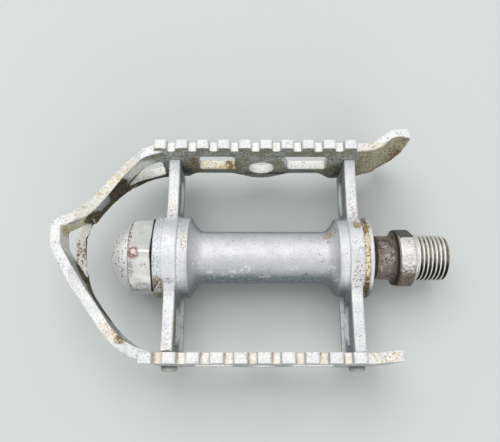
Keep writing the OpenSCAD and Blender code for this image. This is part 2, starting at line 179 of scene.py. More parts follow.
def places(tree):
    """Object coordinates in millimetres, the object's own normal, and x, y and z apart."""
    coords = add(tree, "TexCoord")
    at = add(tree, "VectorMath", {0: coords.outputs["Object"], "Scale": 1000.0}, operation="SCALE").outputs[0]
    return at, coords.outputs["Normal"], add(tree, "SeparateXYZ", {0: at}).outputs


def ragged(tree, at, grain, reach):
    """The coordinates pushed about by noise of that grain, so that a patch's rim is ragged."""
    noise = add(tree, "TexNoise", {"Vector": at, "Scale": 1 / grain, "Detail": 3.0})
    push = add(tree, "VectorMath", {0: noise.outputs["Color"], 1: (0.5, 0.5, 0.5)}, operation="SUBTRACT")
    return add(tree, "VectorMath", {0: push.outputs[0], 1: (2 * reach,) * 3, 2: at},
               operation="MULTIPLY_ADD").outputs[0]


def step(tree, value, start, end):
    """A smooth climb from 0 at start to 1 at end, or down where end is the lower."""
    up = end > start
    return add(tree, "MapRange", {
        "Value": value, "From Min": min(start, end), "From Max": max(start, end),
        "To Min": 0.0 if up else 1.0, "To Max": 1.0 if up else 0.0},
        interpolation_type="SMOOTHSTEP").outputs[0]


def both(tree, *masks):
    """The product of masks."""
    total = masks[0]
    for mask in masks[1:]:
        total = add(tree, "Math", {0: total, 1: mask}, operation="MULTIPLY").outputs[0]
    return total


def patches(tree, at, spots):
    """A mask that is 1 inside each ellipsoid (centre, half sizes) and fades out round it."""
    total = 0.0
    for centre, half in spots:
        inside = add(tree, "Mapping", {
            "Vector": at, "Location": [-c / h for c, h in zip(centre, half)], "Scale": [1 / h for h in half]})
        far = add(tree, "VectorMath", {0: inside.outputs[0]}, operation="LENGTH").outputs["Value"]
        mask = step(tree, far, 1.25, 0.6)
        total = add(tree, "Math", {0: total, 1: mask}, operation="MAXIMUM").outputs[0]
    return total


def coats(tree, base, layers):
    """Lays colours one over the other: each layer is its mask and its hex colour or a socket."""
    for mask, colour in layers:
        top = linear(colour) if isinstance(colour, str) else colour
        under = linear(base) if isinstance(base, str) else base
        base = add(tree, "Mix", {0: mask, 6: under, 7: top}, data_type="RGBA").outputs[2]
    return base


def speck(tree, at, grain, start, end, detail=2.0):
    """Scattered specks of that grain where the noise passes from start to end."""
    noise = add(tree, "TexNoise", {"Vector": at, "Scale": 1 / grain, "Detail": detail, "Roughness": 0.6})
    return step(tree, noise.outputs[0], start, end)


def relief(tree, shader, heights, depth):
    """Bumps the surface by the sum of heights, each a socket and its share, depth in millimetres."""
    total = 0.0
    for height, share in heights:
        total = add(tree, "Math", {0: height, 1: share, 2: total}, operation="MULTIPLY_ADD").outputs[0]
    bump = add(tree, "Bump", {"Height": total, "Strength": 1.0, "Distance": depth * MM})
    tree.links.new(bump.outputs[0], shader.inputs["Normal"])


def rough_cast(tree, at, normal, pale, bright):
    """Cast aluminium's pale skin: mottled, its sides painted darker and bluer as painted shade, with pits
    left by sand. Its edges are rubbed bright and its inner corners grimy, both found by how sharply the
    surface bends."""
    # Sand grains are 0.1 to 0.3 mm, drawn at 0.4 mm so that they show where a pixel is 0.3 mm.
    mottle = speck(tree, at, 4.5, 0.35, 0.68, 4.0)
    grain = speck(tree, at, 0.4, 0.4, 0.62, 2.0)
    pits = speck(tree, at, 0.42, 0.63, 0.7, 1.0)
    up = step(tree, add(tree, "SeparateXYZ", {0: normal}).outputs[2], 0.1, 0.8)
    pale = coats(tree, pale, [(mottle, bright)])
    # The sides are painted darker and bluer than the tops. This is painted shade, over the tops' real wear.
    side = coats(tree, "A0A5A6", [(mottle, "BCBFBE")])
    colour = coats(tree, side, [(up, pale)])
    colour = coats(tree, colour, [(both(tree, grain, 0.22), "8F9193")])
    colour = coats(tree, colour, [(both(tree, pits, speck(tree, at, 2.6, 0.42, 0.58)), "817D74")])
    bend = add(tree, "NewGeometry").outputs["Pointiness"]
    colour = coats(tree, colour, [(both(tree, step(tree, bend, 0.52, 0.58), 0.7), "F3F2EF"),
                                  (both(tree, step(tree, bend, 0.475, 0.42), mottle), "6A675C")])
    return colour, mottle, grain, pits, up


def weathered_cage():
    """Sand-cast aluminium, years outdoors: white worn tops, sides painted grey as painted shade, earth packed
    in its corners, and floors painted near white as painted light.
    """
    mat, tree, shader = skin("weathered_cast_aluminium_cage")
    at, normal, (x, y, z) = places(tree)
    colour, mottle, grain, pits, up = rough_cast(tree, at, normal, "E8E8E9", "F6F4F1")
    torn = ragged(tree, at, 1.6, 1.0)
    frayed = ragged(tree, at, 0.9, 1.3)
    clots = speck(tree, at, 1.1, 0.44, 0.6, 4.0)
    crumbs = speck(tree, at, 0.6, 0.5, 0.62, 2.0)
    facing = add(tree, "SeparateXYZ", {0: normal}).outputs
    side_on = step(tree, up, 0.6, 0.2)
    # Dried yellow earth lies along the top of the loop and between the front rail's teeth, most of it in the
    # corner by each tooth.
    gap = both(tree, step(tree, z, 14.9, 14.4), step(tree, z, 13.2, 13.7), up)
    gap = both(tree, gap, step(tree, x, -80.0, -78.5), step(tree, x, -17.6, -18.6))
    front = step(tree, y, 0.0, -5.0)
    past = add(tree, "Math", {0: x, 1: -front_tooth_side}, operation="ADD").outputs[0]
    tooth = add(tree, "Math", {0: past, 1: tooth_pitch}, operation="DIVIDE").outputs[0]
    corner = step(tree, add(tree, "Math", {0: tooth}, operation="FRACT").outputs[0], 0.13, 0.05)
    loop_top = both(tree, up, patches(tree, torn, [
        ((-92.5, 22.5, 11), (10, 12, 4)), ((-101.2, 10.2, 12), (4.6, 3.4, 4)),
        ((-104.6, 6.5, 11), (1.6, 4, 4))]))
    # The floors between the teeth are painted near white, painted light against the shade there.
    colour = coats(tree, colour, [
        (gap, "F9F7F3"),
        (both(tree, gap, front, speck(tree, at, 7.0, 0.46, 0.62), 0.5), "E6D9BC"),
        (both(tree, gap, front, clots, 0.25), "D2BE94"), (both(tree, gap, crumbs, 0.25), "C0AE90"),
        (both(tree, gap, front, corner, mottle), "A87838"),
        (both(tree, loop_top, speck(tree, at, 1.6, 0.34, 0.64), 0.8), "DCD3B2"),
        (both(tree, loop_top, clots, crumbs, 0.8), "A08F5E")])
    # The inner face of the rear rail is grey and caked, more so round its hole and windows, and darker and
    # bluer low down. Patches beside the arms and along its foot are painted dark, painted shade in its
    # hollows.
    rear_inner = both(tree, step(tree, y, 26.0, 29.0), step(tree, facing[1], -0.2, -0.6), side_on)
    along_rail = add(tree, "Mapping", {"Vector": torn, "Scale": (0.35, 1.0, 1.0)}).outputs[0]
    streaks = speck(tree, along_rail, 1.1, 0.42, 0.6, 4.0)
    high = both(tree, step(tree, z, 9.5, 11.5), speck(tree, at, 2.4, 0.46, 0.56, 4.0))
    # Painted shade: dark patches in the rail's hollows beside the arms and along its foot.
    hollow_shade = patches(tree, torn, [
        ((-21.8, 30, -1), (3.6, 3, 4.5)), ((-70.5, 30, 1), (2.4, 3, 4.5)), ((-46, 30, -3), (20, 3, 1.1))])
    caked = patches(tree, torn, [
        ((-52.5, 30, 3), (3.4, 3, 7)), ((-40.5, 30, 3), (3.6, 3, 5)), ((-69, 30, 5), (3.4, 3, 5)),
        ((-25, 30, 0), (5, 3, 5.5)), ((-47, 30, -5), (8, 3, 2))])
    beam = both(tree, rear_inner, step(tree, z, 0.9, 0.3))
    sills = both(tree, rear_inner, patches(tree, torn, [
        ((-67.4, 30, 6), (1.6, 3, 4)), ((-54, 30, 3), (1.3, 3, 4.5)), ((-67, 30, -1), (2, 3, 2))]))
    colour = coats(tree, colour, [
        (rear_inner, "A4A8A3"), (both(tree, rear_inner, streaks), "656963"),
        (both(tree, rear_inner, crumbs), "CFCFC8"), (both(tree, rear_inner, high), "8F8B72"),
        (both(tree, beam, 0.7), "5D686A"), (both(tree, rear_inner, hollow_shade), "3A4240"),
        (both(tree, rear_inner, caked, clots), "857D64"), (both(tree, rear_inner, caked, crumbs), "B5AD93"),
        (both(tree, sills, clots), "8A6C34"), (both(tree, sills, crumbs), "4A3716")])
    # Oil-dark earth fills the loop's inner face between its slots, and lines the front branch and the lip
    # under the nose. Faces that look towards the middle of the cage are the loop's inner ones.
    to_middle = add(tree, "VectorMath", {0: (-60.0, 0.0, 0.0), 1: at}, operation="SUBTRACT").outputs[0]
    to_middle = add(tree, "VectorMath", {0: to_middle}, operation="NORMALIZE").outputs[0]
    towards = add(tree, "VectorMath", {0: normal, 1: to_middle}, operation="DOT_PRODUCT").outputs["Value"]
    inward = step(tree, towards, 0.0, 0.3)
    loop_inner = both(tree, side_on, inward, patches(tree, frayed, [
        ((-91, 20, 6.5), (3.4, 4.8, 6)), ((-93.4, 17, 1.5), (7, 10, 5.6)), ((-98.2, 10.5, 5.5), (3, 4, 6)),
        ((-84.5, 29.5, -3), (8, 8, 3)), ((-86, 25.5, 2.5), (5, 4, 3.2)), ((-100.4, -7, 3), (3.6, 6, 6)),
        ((-95.5, -15.5, 3.5), (6, 8, 5.6))]))
    loop_inner = step(tree, loop_inner, 0.25, 0.5)
    lip = both(tree, inward, step(tree, z, 1.6, 0.9), step(tree, x, -95.5, -97.0))
    spared = both(tree, side_on, patches(tree, torn, [((-93.9, 16, 7.2), (1.1, 1.3, 1.3))]))
    # Pale patches on the loop's inner faces are painted light.
    painted_light_patches = both(tree, side_on, inward, patches(tree, torn, [
        ((-85.5, 27.5, 8.5), (6, 5, 4)), ((-104.8, 3, 9), (2.6, 8, 6))]))
    sandy = both(tree, side_on, inward, patches(tree, torn, [
        ((-105, 6.5, 9), (3, 3, 5)), ((-101.5, 9.6, 9), (4, 3, 4))]))
    colour = coats(tree, colour, [
        (painted_light_patches, "F2F1EC"), (both(tree, painted_light_patches, clots, 0.4), "B9B5A6"),
        (sandy, "E4DCC6"), (both(tree, sandy, clots), "C8BC9A"), (both(tree, sandy, crumbs, 0.7), "8A7B54"),
        (loop_inner, "2E2611"), (both(tree, loop_inner, clots), "1D170A"),
        (both(tree, loop_inner, crumbs, 0.8), "8E7D48"),
        (lip, "4A3C22"), (both(tree, lip, crumbs), "2A2010"), (both(tree, spared, mottle), "9AA0A0")])
    # The tab's inner face is mottled brown and yellow, with a rusty lower edge.
    tab = both(tree, step(tree, x, -17.5, -15), step(tree, facing[1], -0.05, -0.4), step(tree, y, 20, 26))
    pale_top = both(tree, clots, patches(tree, torn, [((-3.5, 34.5, 10), (4.5, 3, 3.6))]))
    low = both(tree, tab, patches(tree, torn, [((-7, 33, -9), (9, 4, 3.6)), ((-2, 34, 0), (1.4, 3, 7))]))
    colour = coats(tree, colour, [
        (tab, "A5A18D"), (both(tree, tab, streaks), "707062"), (both(tree, tab, clots, 0.6), "7C7258"),
        (both(tree, tab, pale_top), "C4B78E"), (both(tree, tab, crumbs), "D6CBA2"),
        (both(tree, low, clots), "6B4526"), (both(tree, low, crumbs), "A8854E")])
    # Window floors are painted near white, painted light against their shade, and hold yellow dust, and the
    # nose slot's floor has red specks of rust.
    floors = both(tree, up, step(tree, z, 1.7, 1.2))
    rusty = patches(tree, torn, [((-104, 0, 0), (4, 7, 2.5)), ((-101, -7, 1), (2.6, 3, 3))])
    yellow = patches(tree, torn, [((-60.5, 31.5, 0.8), (6.5, 3, 1.5))])
    colour = coats(tree, colour, [
        (floors, "F7F6F1"), (both(tree, floors, crumbs, 0.5), "B9AB8C"),
        (both(tree, floors, yellow, mottle), "EADBB4"), (both(tree, floors, yellow, crumbs, 0.7), "A5834E"),
        (both(tree, floors, rusty, clots, 0.7), "CDB7A4"), (both(tree, floors, rusty, crumbs), "7A5138")])
    # Single clods and stains.
    clods = patches(tree, torn, [((-86.6, -26.3, 13), (2.4, 1.5, 2)), ((-56.5, 31.5, 1), (1.4, 2.4, 1.6))])
    faint = patches(tree, torn, [
        ((-89.5, -23.5, 12), (4.5, 3, 4)), ((-13.5, -31, 14), (5, 2, 1)), ((-76.4, -31.4, 14), (1.2, 1.8, 1)),
        ((-12, 31.6, 14), (4, 2, 1))])
    colour = coats(tree, colour, [
        (both(tree, faint, mottle, 0.7), "E6DBCC"), (both(tree, faint, crumbs), "BFAB8A"),
        (both(tree, clods, speck(tree, at, 1.1, 0.34, 0.48, 4.0)), "9C8148"),
        (both(tree, clods, crumbs), "6F5426")])
    tree.links.new(colour, shader.inputs["Base Color"])
    shader.inputs["Metallic"].default_value = 0.3
    shader.inputs["Roughness"].default_value = 0.55
    cakes = both(tree, side_on, clots)
    relief(tree, shader, [(grain, -0.5), (pits, -0.8), (mottle, 0.6), (cakes, 1.0)], 0.14)
    return mat


def satin_body():
    """Die-cast aluminium, turned on the barrel: satin and pale, painted blue-grey low down as painted shade
    and reflection, with brown stains.
    """
    mat, tree, shader = skin("satin_cast_aluminium_body")
    at, normal, (x, y, z) = places(tree)
    colour, mottle, grain, pits, up = rough_cast(tree, at, normal, "D9DADD", "E9E8E8")
    torn = ragged(tree, at, 1.3, 0.8)
    clots = speck(tree, at, 0.9, 0.46, 0.6, 4.0)
    blots = speck(tree, at, 1.0, 0.36, 0.48, 3.0)
    crumbs = speck(tree, at, 0.5, 0.52, 0.62, 2.0)
    # Barrel and hubs are a little darker than the arms, and the barrel is lilac-grey, with its front half
    # painted darker as painted shade.
    beside = add(tree, "Math", {0: y}, operation="ABSOLUTE").outputs[0]
    core = both(tree, up, step(tree, beside, 14.0, 11.5))
    barrel = both(tree, up, step(tree, x, -70.5, -68.0), step(tree, x, -21.5, -24.0))
    colour = coats(tree, colour, [(both(tree, core, 0.3), "CBCACF"), (both(tree, barrel, 0.25), "C8C5D0"),
                                  (both(tree, barrel, step(tree, y, 0.0, -5.0), 0.5), "A9A9B0")])
    # The flanks of the barrel and hubs are painted blue-grey, painted shade and reflection, with white
    # bruises.
    blue = both(tree, step(tree, z, 8.4, 3.0), step(tree, z, -7.0, -2.0), step(tree, up, 1.2, 0.5))
    bruises = patches(tree, torn, [
        ((-56, -6, 5.4), (3.2, 1.6, 2)), ((-51.5, -5.2, 6.2), (2, 1.2, 2)), ((-62, -6.4, 4.8), (1.6, 1.2, 2)),
        ((-66, -4, 8.3), (1.4, 2.2, 2)), ((-45.6, -6.9, 4.2), (1.6, 0.8, 2)),
        ((-37.5, -4.8, 6.5), (2, 0.9, 2)), ((-26, -5.2, 7.7), (1.8, 1.6, 2)),
        ((-24.7, -8, 7), (1.4, 1.6, 2))])
    colour = coats(tree, colour, [(blue, "757E83"), (both(tree, blue, clots, 0.6), "A2A8AA"),
                                  (both(tree, bruises, clots, 0.55), "F2F2F0")])
    # Earth is packed in the groove of the inboard hub and on the rim of the outboard one, and every turned
    # step has a fine dark line, partly dirt and partly painted shade.
    groove = both(tree, step(tree, x, groove_x0 - 0.15, groove_x0 + 0.1),
                  step(tree, x, groove_x1 + 0.15, groove_x1 - 0.1))
    # Painted shade lines at the turned steps, with dirt in the seam.
    crease_shade = 0.0
    for place in ((seam_x0 + seam_x1) / 2, outer_ring_x + 0.25, outer_sweep_x + 0.05, inner_sweep_x - 0.05,
                  inner_ring_x - 0.15):
        crease = both(tree, step(tree, x, place - 0.28, place - 0.1),
                      step(tree, x, place + 0.28, place + 0.1))
        crease_shade = add(tree, "Math", {0: crease_shade, 1: crease}, operation="MAXIMUM").outputs[0]
    earthy = patches(tree, torn, [((-15.4, 8.5, 9), (2, 4.5, 5)), ((-15.4, -10.5, 5), (2, 4, 6))])
    rim = both(tree, step(tree, x, seam_x0, seam_x0 - 0.4), step(tree, up, 1.6, 0.7))
    low_rim = patches(tree, torn, [((-77.2, -9.8, 8.4), (1.8, 2.8, 3)), ((-77.4, -12.6, 3), (1.8, 2, 3.5))])
    colour = coats(tree, colour, [
        (both(tree, crease_shade, 0.3), "7F868A"), (groove, "DED6C0"),
        (both(tree, groove, clots, 0.8), "A89260"), (both(tree, groove, crumbs), "735D36"),
        (both(tree, groove, earthy, blots), "7A6438"), (both(tree, groove, earthy, crumbs), "33260F"),
        (rim, "D3D6DA"), (both(tree, rim, crumbs), "8A8E94"),
        (step(tree, x, hub_x0 + 0.28, hub_x0 + 0.1), "2C241A"),
        (both(tree, low_rim, blots, 0.8), "8B7448"), (both(tree, low_rim, crumbs), "3A2E18")])
    # Brown stains on the barrel, by the flare and on the tops of the arms.
    stains = patches(tree, torn, [
        ((-26.4, 5.3, 7.3), (1.7, 1.6, 2)), ((-24.4, 6.1, 9.2), (0.7, 1, 1)),
        ((-26.3, 3.2, 8.5), (0.7, 1, 1)), ((-17.6, 7.9, 9.8), (1.3, 2.1, 1.8)),
        ((-14.9, 7.6, 9.9), (1, 2.4, 2.2))])
    dots = patches(tree, torn, [
        ((-28.7, -1, 8), (0.7, 0.6, 1)), ((-28.1, -2.8, 7.6), (0.8, 0.7, 1)),
        ((-32.6, -6.3, 5), (1.2, 0.9, 1)), ((-33.8, -6.8, 4.3), (0.8, 0.7, 1)),
        ((-73.9, 11.2, 7.2), (1, 0.8, 1)), ((-73.7, -9.1, 9.4), (1.2, 1.6, 1.5))])
    freckles = patches(tree, torn, [
        ((-74, 14.5, 8.6), (1.6, 5, 1.6)), ((-18.3, 13, 8.6), (1.6, 7, 2)), ((-74.2, -26, 8.4), (1.2, 3, 1)),
        ((-69.6, 3, 12.4), (2, 4, 1.5))])
    feet = both(tree, blots, patches(tree, torn, [
        ((-73.8, -30, 9), (2.6, 1.1, 3)), ((-18.4, -30, 9), (2.6, 0.7, 3))]))
    peppered = both(tree, patches(tree, torn, [((-18.1, -7, 9.6), (1.7, 6.5, 4))]), crumbs)
    pockets = both(tree, step(tree, up, 0.5, 0.1), patches(tree, torn, [
        ((-72.6, 22, 0), (1.6, 7, 6)), ((-20.6, 22, 1), (1.6, 7, 7)), ((-72.6, -21, 0), (1.6, 8, 7))]))
    colour = coats(tree, colour, [
        (both(tree, freckles, clots, 0.5), "DDD2BC"), (both(tree, freckles, crumbs, 0.8), "8C7658"),
        (both(tree, peppered, 0.9), "7C6549"),
        (pockets, "ABA48F"), (both(tree, pockets, clots), "8F7E5C"), (both(tree, pockets, crumbs), "5A4A30"),
        (both(tree, stains, blots, 0.7), "B5A270"), (both(tree, stains, crumbs), "584217"),
        (both(tree, dots, crumbs), "5B4A2C"), (feet, "55462F")])
    tree.links.new(colour, shader.inputs["Base Color"])
    shader.inputs["Metallic"].default_value = 0.45
    shader.inputs["Roughness"].default_value = 0.5
    relief(tree, shader, [(grain, -0.4), (pits, -0.6), (mottle, 0.4), (clots, 0.15)], 0.08)
    return mat


def plated_cap():
    """Nickel plate on steel: bright and smooth, pitted through to rust in specks along its edges."""
    mat, tree, shader = skin("pitted_nickel_plate")
    at, _, xyz = places(tree)
    x = xyz[0]
    torn = ragged(tree, at, 0.8, 0.35)
    crumbs = speck(tree, at, 0.5, 0.55, 0.62, 2.0)
    clots = speck(tree, at, 0.8, 0.48, 0.6, 3.0)
    haze = speck(tree, at, 3.0, 0.35, 0.7, 3.0)
    blots = speck(tree, at, 0.7, 0.38, 0.48, 3.0)
    colour = coats(tree, "CFCFCC", [(haze, "DEDEDB")])
    edge = both(tree, patches(tree, torn, [((cap_hex_x + 0.2, 4.5, 8), (0.8, 5.6, 6))]),
                speck(tree, at, 0.8, 0.5, 0.56, 1.0))
    seam = both(tree, step(tree, x, cap_hex_x - 0.3, cap_hex_x - 0.1),
                step(tree, x, cap_hex_x + 0.3, cap_hex_x + 0.1))
    dome = step(tree, x, cap_hex_x - 0.05, cap_hex_x - 0.25)
    mark = patches(tree, torn, [((-84.2, -1.4, 11.8), (1.9, 2, 2))])
    heart = patches(tree, torn, [((-84, -1.2, 11.9), (0.8, 0.9, 1.4))])
    small = patches(tree, torn, [
        ((-80.8, -5, 10.9), (0.5, 1, 1.2)), ((-85.6, -10, 4), (1.4, 1.6, 2.4)),
        ((-88.6, -1.6, 8.8), (0.5, 0.4, 1)), ((-90.9, 1.6, 7), (0.5, 0.7, 1)),
        ((-91.6, -0.6, 6), (0.6, 1.2, 1.4))])
    specks = both(tree, step(tree, x, -86.4, -87.4), speck(tree, at, 0.62, 0.61, 0.66, 1.0))
    scuffs = both(tree, blots, patches(tree, torn, [
        ((-82, -10.6, 5), (3.6, 1.6, 3.4)), ((-85.2, -6, 10), (0.9, 3, 3)),
        ((-81.8, -5, 10.8), (0.7, 0.9, 1))]))
    joint = step(tree, x, -79.6, -79.25)
    colour = coats(tree, colour, [
        (both(tree, mark, blots), "9A7566"), (both(tree, mark, crumbs), "5A352B"), (heart, "E0D2CA"),
        (both(tree, scuffs, 0.7), "8C8A86"), (both(tree, dome, 0.8), "DEDEDD"),
        (both(tree, seam, 0.5), "77706A"), (edge, "6E452C"), (both(tree, small, clots), "6A4536"),
        (specks, "55463C"), (joint, "2C241A")])
    rust = coats(tree, "000000", [
        (both(tree, mark, blots), "FFFFFF"), (edge, "FFFFFF"), (specks, "FFFFFF"),
        (both(tree, small, clots), "FFFFFF")])
    tree.links.new(colour, shader.inputs["Base Color"])
    dull = add(tree, "Math", {0: rust, 1: both(tree, dome, 0.5)}, operation="MAXIMUM").outputs[0]
    tree.links.new(add(tree, "MapRange", {"Value": dull, "To Min": 0.7, "To Max": 0.1}).outputs[0],
                   shader.inputs["Metallic"])
    tree.links.new(add(tree, "MapRange", {"Value": dull, "To Min": 0.3, "To Max": 0.75}).outputs[0],
                   shader.inputs["Roughness"])
    relief(tree, shader, [(rust, -1.0), (haze, 0.3)], 0.06)
    return mat


def rusty_spindle():
    """Turned steel: brown skin of rust on the neck, a worn pale collar, bright crests over dark grooves."""
    mat, tree, shader = skin("turned_steel_with_rust")
    at, normal, (x, y, z) = places(tree)
    from_axis = add(tree, "CombineXYZ", {0: 0.0, 1: y, 2: z}).outputs[0]
    radius = add(tree, "VectorMath", {0: from_axis}, operation="LENGTH").outputs["Value"]
    torn = ragged(tree, at, 1.2, 0.6)
    mottle = speck(tree, at, 1.6, 0.4, 0.62, 4.0)
    clots = speck(tree, at, 0.8, 0.45, 0.6, 4.0)
    crumbs = speck(tree, at, 0.45, 0.55, 0.63, 2.0)
    lowness = add(tree, "Math", {0: z, 1: y}, operation="ADD").outputs[0]
    below = step(tree, lowness, 7.0, 0.0)
    lowest = step(tree, lowness, 4.5, -2.5)
    # The neck is brown-grey with rust and pale scuffs, and dark at both ends. The collar is pale above and
    # brown and specked below, with one flat painted dark, a painted reflection.
    scuffed = patches(tree, torn, [
        ((-9, 2.6, 6.3), (1.5, 1.2, 2)), ((-8.2, -1.6, 6.6), (2.4, 2.2, 2)),
        ((-9.6, -4.2, 5.2), (1.2, 1.4, 2)), ((-6.8, -5.5, 5.8), (1.2, 1.6, 2))])
    neck = step(tree, x, -4.75, -4.95)
    collar = both(tree, step(tree, x, -4.95, -4.75), step(tree, x, 0.3, 0.0))
    turn = math.radians(collar_turn)
    out_of_flat = (0.0, math.cos(turn), math.sin(turn))
    facing = add(tree, "VectorMath", {0: normal, 1: out_of_flat}, operation="DOT_PRODUCT").outputs["Value"]
    flat_painted_dark = step(tree, facing, 0.9, 0.97)
    colour = coats(tree, "DEDCD6", [
        (neck, "7A7167"), (both(tree, neck, mottle), "4F453B"), (both(tree, neck, scuffed, clots), "A39C94"),
        (both(tree, neck, crumbs, clots), "BDB8B0"), (both(tree, neck, step(tree, x, -5.7, -5.3)), "1E1915"),
        (step(tree, x, -10.9, -11.2), "1E1710"), (both(tree, collar, lowest), "71685A"),
        (both(tree, collar, clots, below), "5A4B3A"),
        (both(tree, collar, crumbs, clots), "5E4C3C"), (both(tree, collar, flat_painted_dark), "343A30")])
    # The thread's crests are bright and its grooves keep oil, and the thread is darker low down, its flanks
    # there nearly black.
    thread = step(tree, x, 0.6, 1.4)
    groove = both(tree, thread, step(tree, radius, crank_thread_r - 0.32, crank_thread_r - 0.58))
    flank = step(tree, radius, crank_thread_r - 0.14, crank_thread_r - 0.3)
    colour = coats(tree, colour, [
        (thread, "F6F5F0"), (groove, "9A9483"), (both(tree, groove, mottle), "6A6352"),
        (both(tree, thread, lowest, 0.25), "4A3F30"),
        (both(tree, thread, below, flank), "1A130C")])
    tree.links.new(colour, shader.inputs["Base Color"])
    grime = coats(tree, "000000", [
        (neck, "B0B0B0"), (groove, "C0C0C0"), (both(tree, collar, clots), "909090"),
        (both(tree, collar, below), "D0D0D0")])
    tree.links.new(add(tree, "MapRange", {"Value": grime, "To Min": 0.75, "To Max": 0.15}).outputs[0],
                   shader.inputs["Metallic"])
    tree.links.new(add(tree, "MapRange", {"Value": grime, "To Min": 0.3, "To Max": 0.75}).outputs[0],
                   shader.inputs["Roughness"])
    relief(tree, shader, [(clots, -0.5), (crumbs, -0.5), (both(tree, neck, mottle), 1.0)], 0.09)
    return mat


def rust_seal():
    """Pressed steel ring under brown rust, beaded like wet sand."""
    mat, tree, shader = skin("rusted_steel_seal")
    at = places(tree)[0]
    beads = speck(tree, at, 0.7, 0.42, 0.6, 3.0)
    crumbs = speck(tree, at, 0.4, 0.5, 0.62, 2.0)
    colour = coats(tree, "1F150C", [(both(tree, beads, 0.8), "6E5026"), (crumbs, "150D07")])
    tree.links.new(colour, shader.inputs["Base Color"])
    shader.inputs["Metallic"].default_value = 0.1
    shader.inputs["Roughness"].default_value = 0.75
    relief(tree, shader, [(beads, 1.0), (crumbs, -0.5)], 0.2)
    return mat


def peened_rivet():
    """Soft aluminium, hammered over: grey-white and dented, dirty round its rim."""
    mat, tree, shader = skin("peened_aluminium_rivet")
    at = places(tree)[0]
    mottle = speck(tree, at, 1.2, 0.4, 0.62, 4.0)
    crumbs = speck(tree, at, 0.5, 0.52, 0.62, 2.0)
    edge = step(tree, add(tree, "NewGeometry").outputs["Pointiness"], 0.51, 0.56)
    colour = coats(tree, "B9B8B2", [
        (mottle, "9FA09A"), (both(tree, crumbs, 0.4), "8A867C"), (edge, "F4F3F0")])
    tree.links.new(colour, shader.inputs["Base Color"])
    shader.inputs["Metallic"].default_value = 0.5
    shader.inputs["Roughness"].default_value = 0.5
    relief(tree, shader, [(mottle, -1.0), (crumbs, -0.4)], 0.05)
    return mat


def ground_steel(name, pale, dark, roughness):
    """Hardened bearing steel, ground: fine rings of its grinding, under a film of old grease."""
    # Grinding marks are some hundredths of a millimetre wide, drawn at a sixth of one to show close up.
    mat, tree, shader = skin(name)
    at = places(tree)[0]
    along_axis = add(tree, "Mapping", {"Vector": at, "Scale": (6.0, 0.2, 0.2)}).outputs[0]
    rings = add(tree, "TexNoise", {"Vector": along_axis, "Scale": 1.0}).outputs[0]
    film = speck(tree, at, 2.0, 0.4, 0.62, 3.0)
    colour = coats(tree, pale, [(step(tree, rings, 0.45, 0.65), dark), (film, "7B6B4E")])
    tree.links.new(colour, shader.inputs["Base Color"])
    shader.inputs["Metallic"].default_value = 1.0
    shader.inputs["Roughness"].default_value = roughness
    relief(tree, shader, [(rings, 1.0)], 0.02)
    return mat


def put(name, points, faces, body, slot, material, *nodes):
    """Makes a piece from points in millimetres, rides it on a body and lets it stand for those nodes."""
    mesh = bpy.data.meshes.new(name)
    mesh.from_pydata((np.asarray(points) * MM).tolist(), [], [f.tolist() for f in faces])
    mesh.shade_smooth()
    mesh.validate()
    obj = bpy.data.objects.new(name, mesh)
    bpy.context.scene.collection.objects.link(obj)
    mesh.materials.append(material)
    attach(obj, body)
    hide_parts(*nodes)


def lumps(p, size, seed, waves=14):
    """Smooth noise, mostly from -0.5 to 0.5: the mean of cosines of p, run in random directions with waves
    about size long, times a factor that keeps its reach the same for any number of waves."""
    rng = np.random.default_rng(seed)
    way = rng.normal(size=(waves, 3))
    way /= np.linalg.norm(way, axis=1, keepdims=True)
    phase = rng.uniform(0, 2 * np.pi, waves)
    length = size * rng.uniform(0.7, 1.5, waves)
    return np.cos(2 * np.pi * (p @ way.T) / length + phase).mean(axis=-1) * math.sqrt(waves / 2) / 2


def lathe(x, r, theta):
    """Points (x, r cos theta, r sin theta) for arrays of one shape, rows along the profile and columns round
    it, with the quads between its rows, closed round."""
    rows, cols = r.shape
    x = np.broadcast_to(x, r.shape)
    points = np.stack([x, r * np.cos(theta), r * np.sin(theta)], axis=-1).reshape(-1, 3)
    i = np.arange(rows - 1)[:, None] * cols
    j = np.arange(cols)[None, :]
    k = (j + 1) % cols
    quads = np.stack([i + j, i + k, i + cols + k, i + cols + j], axis=-1).reshape(-1, 4)
    return points, quads


def capped(points, quads, cols):
    """Closes the first and last rings, each with a fan to the mean of its points."""
    tips = [points[:cols].mean(axis=0), points[-cols:].mean(axis=0)]
    n = len(points)
    j = np.arange(cols)
    k = (j + 1) % cols
    start = np.stack([np.full(cols, n), k, j], axis=-1)
    end = np.stack([np.full(cols, n + 1), n - cols + j, n - cols + k], axis=-1)
    return np.vstack([points, tips]), list(quads) + list(start) + list(end)


def along(profile, steps):
    """Points spread along straight lines between the profile's own, steps for each millimetre."""
    out = []
    for a, b in zip(profile[:-1], profile[1:]):
        a, b = np.array(a, float), np.array(b, float)
        n = max(1, int(np.ceil(np.linalg.norm(b - a) * steps)))
        out.append(a + (b - a) * (np.arange(n) / n)[:, None])
    return np.vstack(out + [np.array([profile[-1]], float)])


